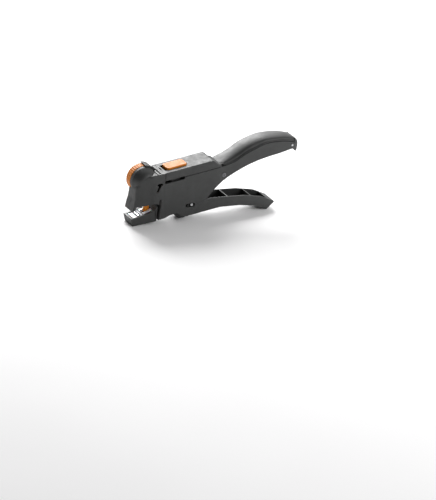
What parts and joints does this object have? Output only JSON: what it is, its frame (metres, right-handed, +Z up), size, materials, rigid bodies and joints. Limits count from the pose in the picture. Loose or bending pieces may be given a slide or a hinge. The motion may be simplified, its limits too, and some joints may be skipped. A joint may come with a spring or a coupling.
{
  "type": "ferrule crimping tool",
  "caption": "Hand tool that cuts, strips and crimps wire-end ferrules fed in strips, with a squeeze lever, a closing jaw, a selector wheel and a magazine under a flat cover.",
  "frame": {"origin": "centre of the bounding box at the surface the tool stands on, on its lower jaw's front edge and its lower handle's tip", "axes": "+X from the nose to the tail, +Y to the tool's right side, +Z up; the flat top cover leans 7.75 degrees, tail up"},
  "size_m": [0.202, 0.0256, 0.0863],
  "materials": {
    "graphite_plastic": "fine moulded grain",
    "black_plastic": "satin moulded",
    "soft_rubber": "soft matt",
    "orange_plastic": "satin moulded",
    "clear_plastic": "milky, translucent",
    "steel": "bright ground",
    "dark_steel": "phosphated"
  },
  "bodies": {
    "housing": {"left_housing": "graphite_plastic", "right_housing": "graphite_plastic", "top_cover": "graphite_plastic", "soft_grip": "soft_rubber", "end_cap": "black_plastic", "tail_pin": "steel", "frame_plate_left": "dark_steel", "frame_plate_right": "dark_steel", "spring_bridge": "dark_steel", "jaw_pivot_pin": "steel", "handle_pivot_pin": "steel", "pawl_pin": "steel", "latch_pin": "steel", "return_spring": "steel", "die_holder": "dark_steel", "upper_blade": "steel", "upper_die": "dark_steel", "wheel_axle": "dark_steel", "magazine_rail": "steel", "rear_screw": "steel", "front_screw": "steel", "middle_screw": "steel"},
    "lower_handle": {"lower_handle": "graphite_plastic", "drive_pin": "steel", "crank_pin": "steel", "crank_plate": "steel", "ratchet_sector": "steel"},
    "lower_jaw": {"lower_jaw": "black_plastic", "lower_blade": "steel", "lower_die": "dark_steel", "front_insert": "clear_plastic", "wire_guide": "clear_plastic", "jaw_link_pin": "steel"},
    "drive_link": {"drive_link": "steel"},
    "ratchet_pawl": {"ratchet_pawl": "steel"},
    "length_stop": {"length_stop": "orange_plastic"},
    "selector_wheel": {"selector_wheel": "orange_plastic"},
    "feed_button": {"feed_button": "orange_plastic", "feed_carriage": "black_plastic"},
    "strip_follower": {"strip_follower": "black_plastic"},
    "transport_slide": {"transport_slide": "black_plastic"},
    "handle_latch": {"handle_latch": "black_plastic"}
  },
  "joints": [
    {"name": "handle_squeeze", "type": "hinge", "parent": "housing", "child": "lower_handle", "pos_m": [-0.03142, 0, 0.00994], "axis": [0, -1, 0], "range_deg": [0, 24], "stiffness_Nm_per_rad": 2, "springref_deg": -28.65, "deforming": ["return_spring"]},
    {"name": "lower_jaw_close", "type": "hinge", "parent": "housing", "child": "lower_jaw", "pos_m": [-0.05848, 0, 0.02341], "axis": [0, 1, 0], "range_deg": [0, 11.2]},
    {"name": "drive_link_stroke", "type": "slide", "parent": "housing", "child": "drive_link", "axis": [-0.9909, 0, -0.1349], "range_m": [0, 0.00156]},
    {"name": "transport_stroke", "type": "slide", "parent": "housing", "child": "transport_slide", "axis": [-0.9909, 0, -0.1349], "range_m": [0, 0.00436]},
    {"name": "pawl_lift", "type": "hinge", "parent": "housing", "child": "ratchet_pawl", "pos_m": [-0.05121, 0, 0.03298], "axis": [0, -1, 0], "range_deg": [0, 12], "stiffness_Nm_per_rad": 0.02, "springref_deg": -28.65},
    {"name": "selector_turn", "type": "hinge", "parent": "housing", "child": "selector_wheel", "pos_m": [-0.08581, 0, 0.04997], "axis": [0, 1, 0], "range_deg": [-60, 60]},
    {"name": "button_press", "type": "slide", "parent": "housing", "child": "feed_button", "axis": [-0.9909, 0, -0.1349], "range_m": [0, 0.0025], "stiffness_N_per_m": 200, "springref_m": -0.004},
    {"name": "follower_travel", "type": "slide", "parent": "housing", "child": "strip_follower", "axis": [0.9909, 0, 0.1349], "range_m": [0, 0.016], "stiffness_N_per_m": 20, "springref_m": -0.03},
    {"name": "stop_adjust", "type": "slide", "parent": "housing", "child": "length_stop", "axis": [-0.9909, 0, -0.1349], "range_m": [0, 0.002]},
    {"name": "latch_swing", "type": "hinge", "parent": "housing", "child": "handle_latch", "pos_m": [-0.0392, 0, 0.00928], "axis": [0, -1, 0], "range_deg": [0, 12], "stiffness_Nm_per_rad": 0.02, "springref_deg": -28.65}
  ],
  "couplings": [
    {"joint": "lower_jaw_close", "follows": "handle_squeeze", "ratio": 0.45},
    {"joint": "drive_link_stroke", "follows": "handle_squeeze", "m_per_rad": 0.003581},
    {"joint": "transport_stroke", "follows": "handle_squeeze", "m_per_rad": 0.01}
  ]
}
